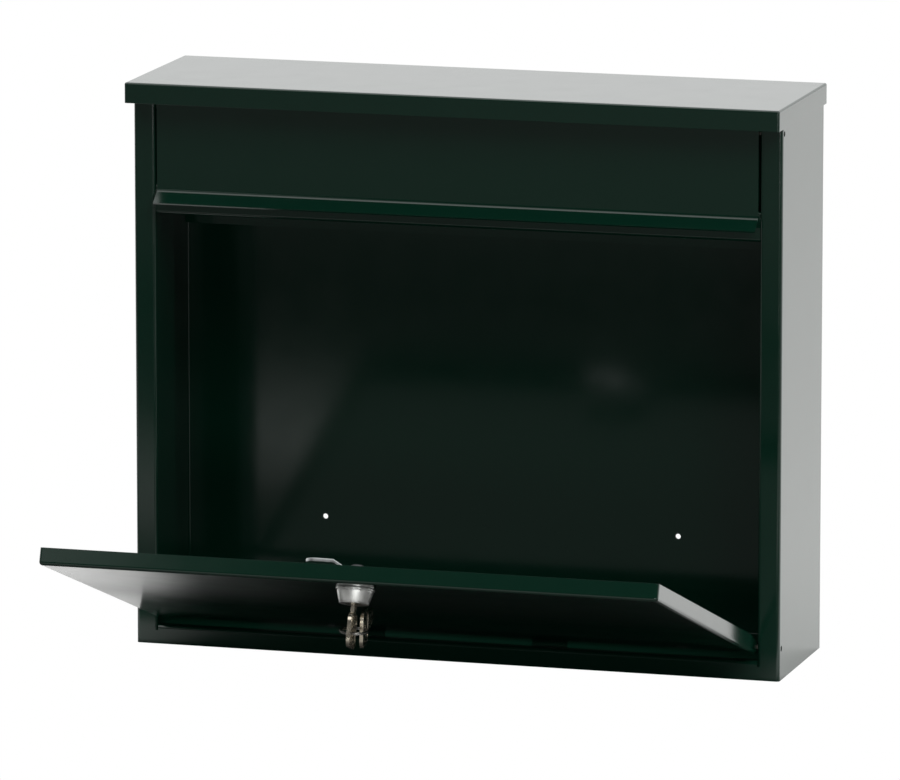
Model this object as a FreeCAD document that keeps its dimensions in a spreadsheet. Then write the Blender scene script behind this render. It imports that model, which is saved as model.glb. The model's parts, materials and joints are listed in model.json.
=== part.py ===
"""Wall mounted post box of folded sheet steel, with its door open and a key in its lock.

Millimetres, +Z up. The back face lies in the plane Y = 0 and the front faces -Y. The origin is the
centre of the four wall holes, on the back face. Heights in the sheet are counted from the bottom
edge of the walls, and each piece's Placement lowers it to the wall holes.
"""
import FreeCAD, Part
import math
import os
import re
import Sketcher

DIMENSIONS = [
    ("sheet_gauge", 1.0, "thickness of the folded steel sheet"),
    ("bend_radius", 1.0, "inside radius of the folds"),
    ("body_width", 370.0, "width over the side walls"),
    ("body_depth", 94.0, "depth from the back face to the front strips"),
    ("wall_height", 317.0, "height of the walls, up to the roof plate"),
    ("front_strip", 12.5, "width of the strips that frame the front"),
    ("return_depth", 33.0, "depth of the returns behind the front strips"),
    ("hole_rise", 158.5, "height of the centre of the wall holes"),
    ("hole_span", 206.0, "distance across between the wall holes"),
    ("hole_climb", 200.0, "distance up between the wall holes"),
    ("hole_width", 3.0, "diameter of a wall hole"),
    ("roof_overhang", 12.5, "how far the roof stands forward of the front"),
    ("roof_gap", 0.2, "gap between the roof's side lips and the walls"),
    ("roof_lip", 11.5, "height of the roof's lips, over the plate"),
    ("roof_hem", 5.0, "depth of the hem inside the front lip"),
    ("sill_height", 10.6, "height of the strip below the door"),
    ("sill_fold", 6.0, "depth of the fold behind the top of that strip"),
    ("floor_flange", 6.0, "height of the floor pan's upturned edges"),
    ("rail_recess", 1.3, "how far the rail's face lies behind the front"),
    ("rail_drop", 57.0, "drop from the top of the walls to the shelf behind the letter slot"),
    ("rail_height", 16.8, "height of the rail"),
    ("rail_catch", 9.5, "depth of the fold under the rail that the cam catches"),
    ("shelf_depth", 16.0, "depth of the level shelf"),
    ("chute_depth", 53.0, "depth of the rail with its chute"),
    ("chute_fall", 24.0, "drop from the shelf to the end of the chute's slope"),
    ("chute_lip", 6.0, "height of the chute's rear edge"),
    ("rail_tab", 12.0, "depth of the tabs that are welded to the returns"),
    ("pin_width", 3.0, "diameter of the four hinge pins"),
    ("pin_recess", 0.6, "how far a pin's end lies below the side wall's face"),
    ("pin_reach", 2.0, "how far a pin stands out inside its flange"),
    ("seat_gap", 0.03, "gap round a pin in the walls"),
    ("turn_gap", 0.05, "gap round whatever turns"),
    ("door_axis_rise", 17.7, "height of the door's hinge"),
    ("door_axis_depth", 4.5, "depth of the door's hinge behind the front"),
    ("door_open", 71.0, "angle to which the door opens, in degrees"),
    ("door_side_gap", 1.1, "gap beside the door"),
    ("door_bottom_gap", 3.6, "gap between the shut door and the strip below it"),
    ("door_top_gap", 1.3, "gap between the shut door and the rail"),
    ("door_depth", 9.5, "depth of the door's folded edges"),
    ("ear_start", 9.0, "height at which the door's side edges start to widen"),
    ("ear_end", 17.0, "height at which they reach their full depth"),
    ("ear_step", 1.8, "how much narrower they are near the hinge"),
    ("stop_width", 20.0, "width of a door stop tab"),
    ("stop_inset", 110.0, "distance from a stop tab to the return beside it"),
    ("stop_drop", 4.4, "how far a stop tab's top lies below the hinge"),
    ("stop_gap", 0.15, "gap between the open door's heel and the stop tabs"),
    ("flap_axis_drop", 14.0, "drop from the top of the walls to the inlet flap's hinge"),
    ("flap_axis_depth", 4.0, "depth of the inlet flap's hinge behind the front"),
    ("flap_side_gap", 1.0, "gap beside the inlet flap"),
    ("flap_head", 9.0, "reach of the flap above its hinge"),
    ("flap_drop", 46.6, "reach of the flap's face below its hinge"),
    ("flap_flange", 8.0, "depth of the flap's folded edges"),
    ("flap_flange_end", 41.0, "how far below the hinge the side edges end"),
    ("grip_reach", 7.6, "how far the flap's grip lip stands forward"),
    ("grip_drop", 5.8, "how far the grip lip slopes down"),
    ("grip_bend", 3.0, "radius of the bend above the grip lip"),
    ("lock_inset", 21.2, "distance from the door's free edge to the lock"),
    ("lock_turn", 7.0, "turn of the plug, key and cam, in degrees"),
    ("collar_radius", 10.55, "radius of the collar at the door"),
    ("collar_rim", 1.2, "height of the collar's rim"),
    ("collar_nose", 8.25, "radius of the collar's outer end and the lock's head"),
    ("collar_height", 7.8, "how far the collar stands out"),
    ("collar_groove", 0.35, "depth of the groove above the rim"),
    ("barrel_radius", 6.5, "radius of the lock's barrel"),
    ("barrel_gap", 0.1, "gap round the barrel"),
    ("head_height", 0.8, "height of the lock's head"),
    ("barrel_length", 8.5, "length of the barrel behind the door's outer face"),
    ("nut_across", 22.0, "nut, across flats"),
    ("nut_height", 4.0, "nut, height"),
    ("plug_radius", 4.6, "radius of the plug"),
    ("tail_width", 6.0, "width of the plug's square tail"),
    ("keyway_height", 8.0, "height of the keyway"),
    ("keyway_gap", 0.2, "gap round the key's blade"),
    ("cam_gauge", 2.0, "thickness of the cam"),
    ("cam_width", 16.0, "width of the cam"),
    ("cam_reach", 28.0, "reach of the cam from the lock's axis"),
    ("cam_bend_start", 6.0, "distance from the axis to the start of the crank"),
    ("cam_bend_end", 12.0, "distance from the axis to the end of the crank"),
    ("cam_rise", 3.4, "height of the crank"),
    ("washer_radius", 5.5, "radius of the cam washer"),
    ("washer_gauge", 0.6, "thickness of the cam washer"),
    ("screw_radius", 1.9, "radius of the cam screw's shank"),
    ("screw_length", 4.0, "length of the cam screw's shank"),
    ("screw_head_radius", 3.6, "radius of the cam screw's head"),
    ("screw_head_height", 1.5, "height of the cam screw's head"),
    ("key_gauge", 2.0, "thickness of a key"),
    ("key_shank", 5.0, "length of a key between lock and bow"),
    ("key_blade", 15.0, "length of a key's blade in the lock"),
    ("bow_length", 18.5, "length of a key's bow"),
    ("bow_width", 20.0, "width of a key's bow"),
    ("bow_corner", 5.0, "radius of the bow's corners"),
    ("bow_hole_radius", 2.5, "radius of the hole in the bow"),
    ("bow_hole_reach", 16.0, "distance from the lock's face to that hole"),
    ("notch_width", 2.4, "width of a notch in the blade"),
    ("notch_depth", 1.4, "depth of a notch in the blade"),
    ("groove_width", 1.6, "width of the groove along each side of the blade"),
    ("groove_depth", 0.5, "depth of that groove"),
    ("coin_rim", 2.2, "width of the raised rim round the bow"),
    ("coin_depth", 0.25, "depth of the coined field inside that rim"),
    ("ring_radius", 7.3, "radius of the key ring, to its wire's middle"),
    ("ring_wire_radius", 0.75, "radius of the key ring's wire"),
    ("ring_play", 0.45, "gap between the ring's wire and the edge of a key's hole"),
    ("spare_play", 1.3, "the same gap in the spare key, which the wire crosses at a slant"),
    ("ring_tilt", 19.0, "tilt of the key ring towards the door, in degrees"),
    ("spare_place", 33.0, "place of the spare key round the ring, in degrees"),
    ("spare_twist", 34.0, "twist of the spare key on the ring, in degrees"),
    ("spare_swing", 4.0, "swing of the spare key on the ring, in degrees"),
]

NOTCH_PLACES = (0.2, 0.4, 0.6, 0.8)
TOLERANCE = 0.01

doc = FreeCAD.newDocument("post_box")
dims = doc.addObject("Spreadsheet::Sheet", "dims")
pieces = []

# Heights and reaches that follow from the sizes
RAIL_TOP = "(wall_height - rail_drop)"
RAIL_BOTTOM = "(wall_height - rail_drop - rail_height)"
FLAP_AXIS_RISE = "(wall_height - flap_axis_drop)"
DOOR_HEEL = "(door_axis_rise - sill_height - door_bottom_gap)"
DOOR_REACH = "(wall_height - rail_drop - rail_height - door_top_gap - door_axis_rise)"
LOCK_REACH = "(wall_height - rail_drop - rail_height - door_top_gap - door_axis_rise - lock_inset)"

BOX_FRAME = "placement(vector(0; 0; -hole_rise); rotation(vector(1; 0; 0); 0))"
DOOR_FRAME = ("placement(vector(0; door_axis_depth - body_depth; door_axis_rise - hole_rise);"
              " rotation(vector(1; 0; 0); door_open))")
FLAP_FRAME = (f"placement(vector(0; flap_axis_depth - body_depth; {FLAP_AXIS_RISE} - hole_rise);"
              " rotation(vector(1; 0; 0); 0))")
# Lock pieces: Y along the lock's axis, counted from the door's outer face, inwards
LOCK_FRAME = (DOOR_FRAME + f" * placement(vector(0; -door_axis_depth; {LOCK_REACH});"
              " rotation(vector(0; 1; 0); 0))")
TURNED_FRAME = (DOOR_FRAME + f" * placement(vector(0; -door_axis_depth; {LOCK_REACH});"
                " rotation(vector(0; 1; 0); lock_turn))")
# The ring hangs against the far edge of the key's hole; its frame has the origin at its own
# centre and Y away from that key
SLACK = "bow_hole_radius - ring_wire_radius - ring_play"
RING_FRAME = (TURNED_FRAME + " * placement(vector(0; -collar_height - head_height - bow_hole_reach; 0);"
              " rotation(vector(1; 0; 0); ring_tilt - 90))"
              f" * placement(vector(0; ring_radius + {SLACK}; 0); rotation(vector(0; 0; 1); 0))")
SPARE_FRAME = (RING_FRAME + " * placement(vector(0; 0; 0); rotation(vector(0; 0; 1); -spare_place))"
               " * placement(vector(0; ring_radius; 0); rotation(vector(0; 0; 1); spare_twist))"
               " * placement(vector(0; 0; 0); rotation(vector(1; 0; 0); spare_swing))"
               " * placement(vector(0; collar_height + head_height + bow_hole_reach"
               " + bow_hole_radius - ring_wire_radius - spare_play; 0); rotation(vector(1; 0; 0); 0))")


def fill_sheet():
    """Write each driving dimension to the sheet, with its name as the alias of its cell."""
    for row, (name, number, note) in enumerate(DIMENSIONS, start=1):
        dims.set(f"A{row}", note)
        dims.set(f"B{row}", str(number))
        dims.setAlias(f"B{row}", name)
    doc.recompute()


def formula(words):
    """Turn each dimension's name in a formula into a reference to its cell."""
    return re.sub(r"\b[a-z]+(?:_[a-z]+)+\b", r"dims.\g<0>", words)


def size(words):
    """Number that a formula of dimensions has now."""
    return float(dims.evalExpression(formula(words)))


def new_piece(name, frame):
    """Start a body for one piece, placed by its frame."""
    body = doc.addObject("PartDesign::Body", name)
    body.Label = name
    body.setExpression("Placement", formula(frame))
    pieces.append(body)
    return body


def new_sketch(body, name, plane, offset="0"):
    """Add a sketch on one of the body's own origin planes, moved along its normal by offset."""
    sketch = body.newObject("Sketcher::SketchObject", f"{body.Name}_{name}")
    support = next(item for item in body.Origin.OriginFeatures if item.Role == plane)
    sketch.AttachmentSupport = [(support, "")]
    sketch.MapMode = "FlatFace"
    sketch.setExpression("AttachmentOffset.Base.z", formula(offset))
    return sketch


def tie(sketch, kind, element, point, words):
    """Hold one coordinate of a point to a formula."""
    place = sketch.addConstraint(Sketcher.Constraint(kind, -1, 1, element, point, size(words)))
    sketch.setExpression(f"Constraints[{place}]", formula(words))


def draw_outline(sketch, corners, arcs=None):
    """Close an outline through corners, each given as two formulas.

    The sides are straight, but for those in arcs: the number of a side's first corner, with the
    two formulas of its centre and that of its radius.
    """
    spots = [FreeCAD.Vector(size(across), size(up), 0) for across, up in corners]
    first, ends = sketch.GeometryCount, []
    for number, spot in enumerate(spots):
        onward = spots[(number + 1) % len(spots)]
        if number not in (arcs or {}):
            sketch.addGeometry(Part.LineSegment(spot, onward), False)
            ends.append((1, 2))
            continue
        centre = FreeCAD.Vector(*(size(words) for words in arcs[number][:2]), 0)
        anticlockwise = (spot - centre).cross(onward - centre).z > 0
        turns = [math.atan2(place.y - centre.y, place.x - centre.x)
                 for place in ((spot, onward) if anticlockwise else (onward, spot))]
        circle = Part.Circle(centre, FreeCAD.Vector(0, 0, 1), (spot - centre).Length)
        arc = sketch.addGeometry(Part.ArcOfCircle(circle, *turns), False)
        place = sketch.addConstraint(Sketcher.Constraint("Radius", arc, size(arcs[number][2])))
        sketch.setExpression(f"Constraints[{place}]", formula(arcs[number][2]))
        ends.append((1, 2) if anticlockwise else (2, 1))
    for number, (across, up) in enumerate(corners):
        before = (number - 1) % len(corners)
        sketch.addConstraint(Sketcher.Constraint(
            "Coincident", first + before, ends[before][1], first + number, ends[number][0]))
        tie(sketch, "DistanceX", first + number, ends[number][0], across)
        tie(sketch, "DistanceY", first + number, ends[number][0], up)


def draw_circle(sketch, across, up, radius):
    """Draw a circle whose centre and radius are formulas."""
    centre = FreeCAD.Vector(size(across), size(up), 0)
    circle = sketch.addGeometry(Part.Circle(centre, FreeCAD.Vector(0, 0, 1), size(radius)), False)
    tie(sketch, "DistanceX", circle, 3, across)
    tie(sketch, "DistanceY", circle, 3, up)
    place = sketch.addConstraint(Sketcher.Constraint("Radius", circle, size(radius)))
    sketch.setExpression(f"Constraints[{place}]", formula(radius))


def draw_box(sketch, left, low, right, high):
    """Draw a rectangle between two corners given as formulas."""
    draw_outline(sketch, [(left, low), (right, low), (right, high), (left, high)])


def mirrored(half):
    """Close an outline with the mirror image of its right half."""
    return half + [(f"-({across})", up) for across, up in reversed(half)]


def extrude(body, sketch, kind, length, symmetric=False, backwards=False):
    """Pad or pocket a sketch by a length given as a formula."""
    feature = body.newObject(f"PartDesign::{kind}", f"{sketch.Name}_{kind.lower()}")
    feature.Profile = sketch
    feature.setExpression("Length", formula(length))
    feature.SideType = "Symmetric" if symmetric else "One side"
    feature.Reversed = backwards
    doc.recompute()
    return feature


def revolve(body, sketch):
    """Turn a sketch of the XY plane about the Y axis."""
    feature = body.newObject("PartDesign::Revolution", f"{sketch.Name}_turned")
    feature.Profile = sketch
    axis = next(item for item in body.Origin.OriginFeatures if item.Role == "Y_Axis")
    feature.ReferenceAxis = (axis, [""])
    feature.Angle = 360.0
    doc.recompute()
    return feature


def edges_along(feature, direction, spots):
    """Names of a feature's straight edges along X, Y or Z that pass through the given spots.

    A spot holds the other two coordinates, as formulas.
    """
    along = "xyz".index(direction)
    others = [axis for axis in range(3) if axis != along]
    wanted = [(size(first), size(second)) for first, second in spots]
    names = []
    for number, edge in enumerate(feature.Shape.Edges, start=1):
        if edge.Degenerated or not isinstance(edge.Curve, Part.Line):
            continue
        if abs(edge.Curve.Direction[along]) < 1 - TOLERANCE:
            continue
        place = edge.Vertexes[0].Point
        if any(math.hypot(place[others[0]] - one, place[others[1]] - two) < TOLERANCE
               for one, two in wanted):
            names.append(f"Edge{number}")
    return names


def round_edges(body, direction, spots, radius):
    """Fillet the straight edges along one direction through the given spots."""
    base = body.Tip
    names = edges_along(base, direction, spots)
    feature = body.newObject("PartDesign::Fillet", f"{base.Name}_round")
    feature.Base = (base, names)
    feature.setExpression("Radius", formula(radius))
    doc.recompute()
    return feature


def both_sides(across, up):
    """The same spot at the right and at the left."""
    return [(across, up), (f"-({across})", up)]


def make_body_wrap():
    """Back, side walls, front strips and returns, folded from one sheet."""
    body = new_piece("body_wrap", BOX_FRAME)
    half, edge = "body_width / 2", "body_width / 2 - front_strip"
    folds_outside = [(half, "0"), (half, "-body_depth"), (edge, "-body_depth")]
    folds_inside = [(f"{edge} + sheet_gauge", "-body_depth + sheet_gauge"),
                    (f"{half} - sheet_gauge", "-body_depth + sheet_gauge"),
                    (f"{half} - sheet_gauge", "-sheet_gauge")]
    ends = [(edge, "-body_depth + return_depth"), (f"{edge} + sheet_gauge", "-body_depth + return_depth")]
    section = new_sketch(body, "section", "XY_Plane")
    draw_outline(section, mirrored(folds_outside + ends + folds_inside))
    extrude(body, section, "Pad", "wall_height")
    for spots, radius in ((folds_outside, "bend_radius + sheet_gauge"), (folds_inside, "bend_radius")):
        round_edges(body, "z", [spot for fold in spots for spot in both_sides(*fold)], radius)

    make_lower_strip(body, edge)

    holes = new_sketch(body, "wall_holes", "XZ_Plane")
    for up in ("hole_rise - hole_climb / 2", "hole_rise + hole_climb / 2"):
        for across in ("-hole_span / 2", "hole_span / 2"):
            draw_circle(holes, across, up, "hole_width / 2")
    extrude(body, holes, "Pocket", "4 * sheet_gauge", symmetric=True)

    seats = new_sketch(body, "pin_seats", "YZ_Plane")
    for depth, rise in (("door_axis_depth", "door_axis_rise"), ("flap_axis_depth", FLAP_AXIS_RISE)):
        draw_circle(seats, f"{depth} - body_depth", rise, "pin_width / 2 + seat_gap")
    extrude(body, seats, "Pocket", "2 * body_width", symmetric=True)


def make_lower_strip(body, edge):
    """Front strip below the door, with the fold behind its top and the two door stops."""
    front, fold = "-body_depth + sheet_gauge", "bend_radius + sheet_gauge"
    low = f"sill_height - ({fold}) - sheet_gauge"
    # The returns end above the strip, and their folds run down to the square lower corners
    for name, near, far, height in (
            ("relief", f"-body_depth + {fold} - sheet_gauge / 2", "-body_depth + return_depth + sheet_gauge",
             "sill_height + sheet_gauge"),
            ("notch", "-body_depth - sheet_gauge", f"-body_depth + {fold}", low)):
        cut = new_sketch(body, name, "XY_Plane")
        for side in ("", "-"):
            draw_box(cut, f"{side}({edge} - sheet_gauge)", near, f"{side}({edge} + {fold})", far)
        extrude(body, cut, "Pocket", height, backwards=True)
    corner = new_sketch(body, "corner", "XY_Plane")
    for side in ("", "-"):
        draw_box(corner, f"{side}({edge})", "-body_depth", f"{side}({edge} + {fold})", front)
    extrude(body, corner, "Pad", low)
    strip = new_sketch(body, "strip", "YZ_Plane")
    centre = (f"-body_depth + {fold}", f"sill_height - ({fold})")
    draw_outline(strip, [
        ("-body_depth", "0"), (front, "0"), (front, centre[1]), (centre[0], "sill_height - sheet_gauge"),
        ("-body_depth + sill_fold", "sill_height - sheet_gauge"), ("-body_depth + sill_fold", "sill_height"),
        (centre[0], "sill_height"), ("-body_depth", centre[1])],
        arcs={2: (*centre, "bend_radius"), 6: (*centre, fold)})
    extrude(body, strip, "Pad", f"2 * ({edge})", symmetric=True)

    # The open door's heel rests on these upturned tabs of the fold
    heel = f"door_axis_depth + ({DOOR_HEEL} - stop_drop * cos(door_open)) / sin(door_open)"
    face = f"{heel} + stop_gap - body_depth"
    fold_end = "-body_depth + sill_fold - sheet_gauge"
    for side, name in (("", "right"), ("-", "left")):
        tab = new_sketch(body, f"stop_{name}", "YZ_Plane", f"{side}({edge} - stop_inset - stop_width / 2)")
        draw_outline(tab, [(fold_end, "sill_height - sheet_gauge"),
                           (f"{face} + sheet_gauge", "sill_height - sheet_gauge"),
                           (f"{face} + sheet_gauge", "door_axis_rise - stop_drop"),
                           (face, "door_axis_rise - stop_drop"), (face, "sill_height"),
                           (fold_end, "sill_height")])
        extrude(body, tab, "Pad", "stop_width", symmetric=True)


def make_floor_pan():
    """Floor tray with upturned edges, welded inside the walls and the strip below the door."""
    body = new_piece("floor_pan", BOX_FRAME)
    half = "body_width / 2 - sheet_gauge"
    front, back = "-body_depth + sheet_gauge", "-sheet_gauge"
    plan = new_sketch(body, "plan", "XY_Plane")
    draw_box(plan, f"-({half})", front, half, back)
    extrude(body, plan, "Pad", "floor_flange")
    fold = "bend_radius + sheet_gauge"
    round_edges(body, "z", both_sides(half, front) + both_sides(half, back), fold)
    hollow = new_sketch(body, "hollow", "XY_Plane", "sheet_gauge")
    draw_box(hollow, f"-({half} - sheet_gauge)", f"{front} + sheet_gauge",
             f"{half} - sheet_gauge", f"{back} - sheet_gauge")
    extrude(body, hollow, "Pocket", "floor_flange", backwards=True)
    corners = both_sides(f"{half} - sheet_gauge", f"{front} + sheet_gauge")
    corners += both_sides(f"{half} - sheet_gauge", f"{back} - sheet_gauge")
    round_edges(body, "z", corners, "bend_radius")


def make_roof():
    """Roof plate with side lips and a hemmed front lip."""
    body = new_piece("roof", BOX_FRAME)
    half = "body_width / 2 + roof_gap + sheet_gauge"
    front = "-body_depth - roof_overhang"
    under = "wall_height + sheet_gauge - roof_lip"
    plan = new_sketch(body, "plan", "XY_Plane", under)
    draw_box(plan, f"-({half})", front, half, "0")
    extrude(body, plan, "Pad", "roof_lip")
    round_edges(body, "z", both_sides(half, front), "roof_gap + sheet_gauge")
    top = "wall_height + sheet_gauge"
    base = body.Tip
    names = edges_along(base, "y", both_sides(half, top)) + edges_along(base, "x", [(front, top)])
    crown = body.newObject("PartDesign::Fillet", "roof_crown")
    crown.Base = (base, names)
    crown.setExpression("Radius", formula("roof_gap + sheet_gauge"))
    doc.recompute()
    hollow = body.newObject("PartDesign::Thickness", "roof_hollow")
    hollow.Base = (crown, open_faces(crown, (("z", under), ("y", "0"))))
    hollow.setExpression("Value", formula("sheet_gauge"))
    hollow.Reversed = True
    hollow.Join = 0
    doc.recompute()
    hem = new_sketch(body, "hem", "XY_Plane", under)
    draw_box(hem, f"-({half} - sheet_gauge)", f"{front} + sheet_gauge / 2",
             f"{half} - sheet_gauge", f"{front} + roof_hem")
    extrude(body, hem, "Pad", "sheet_gauge")


def open_faces(feature, planes):
    """Names of the flat faces that lie in planes, each an axis and its place as a formula."""
    names = []
    for number, face in enumerate(feature.Shape.Faces, start=1):
        box = face.BoundBox
        for axis, words in planes:
            low, high = {"x": (box.XMin, box.XMax), "y": (box.YMin, box.YMax),
                         "z": (box.ZMin, box.ZMax)}[axis]
            if abs(low - size(words)) < TOLERANCE and abs(high - size(words)) < TOLERANCE:
                names.append(f"Face{number}")
    return names


def make_inlet_rail():
    """Rail below the letter slot, with its sill, chute and welded end tabs."""
    body = new_piece("inlet_rail", BOX_FRAME)
    face = "-body_depth + rail_recess"
    inside = f"{face} + sheet_gauge"
    edge = "body_width / 2 - front_strip"
    section = new_sketch(body, "section", "YZ_Plane")
    rear = f"{face} + chute_depth"
    slope_end = f"{RAIL_TOP} - chute_fall"
    draw_outline(section, [
        (face, RAIL_BOTTOM), (f"{face} + rail_catch", RAIL_BOTTOM),
        (f"{face} + rail_catch", f"{RAIL_BOTTOM} + sheet_gauge"),
        (inside, f"{RAIL_BOTTOM} + sheet_gauge"),
        (inside, f"{RAIL_TOP} - sheet_gauge"), (f"{face} + shelf_depth", f"{RAIL_TOP} - sheet_gauge"),
        (f"{rear} - sheet_gauge", f"{slope_end} - sheet_gauge"),
        (f"{rear} - sheet_gauge", f"{slope_end} - chute_lip"), (rear, f"{slope_end} - chute_lip"),
        (rear, slope_end), (f"{face} + shelf_depth", RAIL_TOP), (face, RAIL_TOP)])
    extrude(body, section, "Pad", f"2 * ({edge})", symmetric=True)
    round_edges(body, "x", [(face, RAIL_BOTTOM), (face, RAIL_TOP)], "bend_radius + sheet_gauge")
    round_edges(body, "x", [(inside, f"{RAIL_BOTTOM} + sheet_gauge"), (inside, f"{RAIL_TOP} - sheet_gauge")],
                "bend_radius")
    for side, name in (("", "right"), ("-", "left")):
        tab = new_sketch(body, f"tab_{name}", "YZ_Plane", f"{side}({edge} - sheet_gauge / 2)")
        draw_box(tab, f"{face} + sheet_gauge / 2", f"{RAIL_BOTTOM} + 3 * sheet_gauge",
                 f"{face} + rail_tab", f"{RAIL_TOP} - sheet_gauge / 2")
        extrude(body, tab, "Pad", "sheet_gauge", symmetric=True)


def make_pins():
    """Four plain pins, set in the side walls and the returns."""
    for hinge, depth, rise, gap in (("flap", "flap_axis_depth", FLAP_AXIS_RISE, "flap_side_gap"),
                                    ("door", "door_axis_depth", "door_axis_rise", "door_side_gap")):
        inner = f"body_width / 2 - front_strip - {gap} - sheet_gauge - pin_reach"
        length = f"body_width / 2 - pin_recess - ({inner})"
        for side, name in (("", "right"), ("-", "left")):
            body = new_piece(f"{hinge}_pin_{name}", BOX_FRAME)
            end = new_sketch(body, "end", "YZ_Plane", f"{side}({inner})")
            draw_circle(end, f"{depth} - body_depth", rise, "pin_width / 2")
            extrude(body, end, "Pad", length, backwards=bool(side))


def make_door():
    """Door pan with folded edges, hung on two ears at its lower corners."""
    body = new_piece("door", DOOR_FRAME)
    half = "body_width / 2 - front_strip - door_side_gap"
    outer, inner = "-door_axis_depth", "door_depth - door_axis_depth"
    profile = new_sketch(body, "profile", "YZ_Plane")
    draw_outline(profile, [(outer, f"-{DOOR_HEEL}"), (f"{inner} - ear_step", f"-{DOOR_HEEL}"),
                           (f"{inner} - ear_step", "ear_start"), (inner, "ear_end"),
                           (inner, DOOR_REACH), (outer, DOOR_REACH)])
    extrude(body, profile, "Pad", f"2 * ({half})", symmetric=True)
    fold = "bend_radius + sheet_gauge"
    round_edges(body, "x", [(outer, f"-{DOOR_HEEL}"), (outer, DOOR_REACH)], fold)
    round_edges(body, "z", both_sides(half, outer), fold)

    face, side = f"{outer} + sheet_gauge", f"{half} - sheet_gauge"
    low, high = f"sheet_gauge - {DOOR_HEEL}", f"{DOOR_REACH} - sheet_gauge"
    hollow = new_sketch(body, "hollow", "YZ_Plane")
    draw_box(hollow, face, low, f"{inner} + sheet_gauge", high)
    extrude(body, hollow, "Pocket", f"2 * ({side})", symmetric=True)
    round_edges(body, "x", [(face, low), (face, high)], "bend_radius")
    round_edges(body, "z", both_sides(side, face), "bend_radius")

    bores = new_sketch(body, "bores", "YZ_Plane")
    draw_circle(bores, "0", "0", "pin_width / 2 + turn_gap")
    extrude(body, bores, "Pocket", "2 * body_width", symmetric=True)
    lock_hole = new_sketch(body, "lock_hole", "XZ_Plane", "door_axis_depth")
    draw_circle(lock_hole, "0", LOCK_REACH, "barrel_radius + barrel_gap")
    extrude(body, lock_hole, "Pocket", "4 * sheet_gauge", symmetric=True)


def make_inlet_flap():
    """Inlet flap with folded top and sides and a grip lip along its lower edge."""
    body = new_piece("inlet_flap", FLAP_FRAME)
    half = "body_width / 2 - front_strip - flap_side_gap"
    outer = "-flap_axis_depth"
    inner = f"{outer} + sheet_gauge"
    slope = "sqrt(grip_reach * grip_reach + grip_drop * grip_drop)"
    section = new_sketch(body, "section", "YZ_Plane")
    draw_outline(section, [
        (outer, "-flap_drop"),
        (f"{outer} - grip_reach", "-flap_drop - grip_drop"),
        (f"{outer} - grip_reach + sheet_gauge * grip_drop / {slope}",
         f"-flap_drop - grip_drop - sheet_gauge * grip_reach / {slope}"),
        (inner, f"-flap_drop - sheet_gauge * (({slope}) - grip_drop) / grip_reach"),
        (inner, "flap_head - sheet_gauge"), (f"{outer} + flap_flange", "flap_head - sheet_gauge"),
        (f"{outer} + flap_flange", "flap_head"), (outer, "flap_head")])
    extrude(body, section, "Pad", f"2 * ({half})", symmetric=True)
    round_edges(body, "x", [(outer, "flap_head")], "bend_radius + sheet_gauge")
    round_edges(body, "x", [(outer, "-flap_drop")], "grip_bend")
    bend = f"-flap_drop - sheet_gauge * (({slope}) - grip_drop) / grip_reach"
    round_edges(body, "x", [(inner, bend)], "grip_bend + sheet_gauge")
    for side, name in (("", "right"), ("-", "left")):
        flange = new_sketch(body, f"flange_{name}", "YZ_Plane", f"{side}({half} - sheet_gauge / 2)")
        draw_outline(flange, [
            (f"{inner} - sheet_gauge / 2", "-flap_flange_end"),
            (f"{outer} + flap_flange", "-flap_flange_end + flap_flange"),
            (f"{outer} + flap_flange", "flap_head - sheet_gauge / 2"),
            (f"{inner} - sheet_gauge / 2", "flap_head - sheet_gauge / 2")])
        extrude(body, flange, "Pad", "sheet_gauge", symmetric=True)
    bores = new_sketch(body, "bores", "YZ_Plane")
    draw_circle(bores, "0", "0", "pin_width / 2 + turn_gap")
    extrude(body, bores, "Pocket", "2 * body_width", symmetric=True)


def make_lock_collar():
    """Turned collar round the lock, with a rim, a groove and a tapered nose."""
    body = new_piece("lock_collar", LOCK_FRAME)
    section = new_sketch(body, "section", "XY_Plane")
    bore = "barrel_radius + barrel_gap"
    draw_outline(section, [
        (bore, "0"), ("collar_radius", "0"), ("collar_radius", "-collar_rim"),
        ("collar_radius - collar_groove", "-collar_rim"),
        ("collar_radius - collar_groove", "-collar_rim - collar_groove"),
        ("collar_nose", "-collar_height"), (bore, "-collar_height")])
    revolve(body, section)


def make_lock_body():
    """Barrel of the lock, with the head that holds the collar to the door."""
    body = new_piece("lock_body", LOCK_FRAME)
    section = new_sketch(body, "section", "XY_Plane")
    bore, face = "plug_radius + turn_gap", "-collar_height - head_height"
    draw_outline(section, [
        (bore, face), (f"collar_nose - head_height / 3", face),
        ("collar_nose", f"{face} + head_height / 3"), ("collar_nose", "-collar_height"),
        ("barrel_radius", "-collar_height"), ("barrel_radius", "barrel_length - turn_gap"),
        (bore, "barrel_length - turn_gap")])
    revolve(body, section)


def make_lock_nut():
    """Hexagon nut on the barrel, against the door's inner face."""
    body = new_piece("lock_nut", LOCK_FRAME)
    sketch = new_sketch(body, "hexagon", "XZ_Plane", "-sheet_gauge")
    corners = [(f"nut_across / 2 / cos(30) * cos({60 * turn})", f"nut_across / 2 / cos(30) * sin({60 * turn})")
               for turn in range(6)]
    draw_outline(sketch, corners)
    draw_circle(sketch, "0", "0", "barrel_radius + turn_gap")
    extrude(body, sketch, "Pad", "nut_height", backwards=True)


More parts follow.
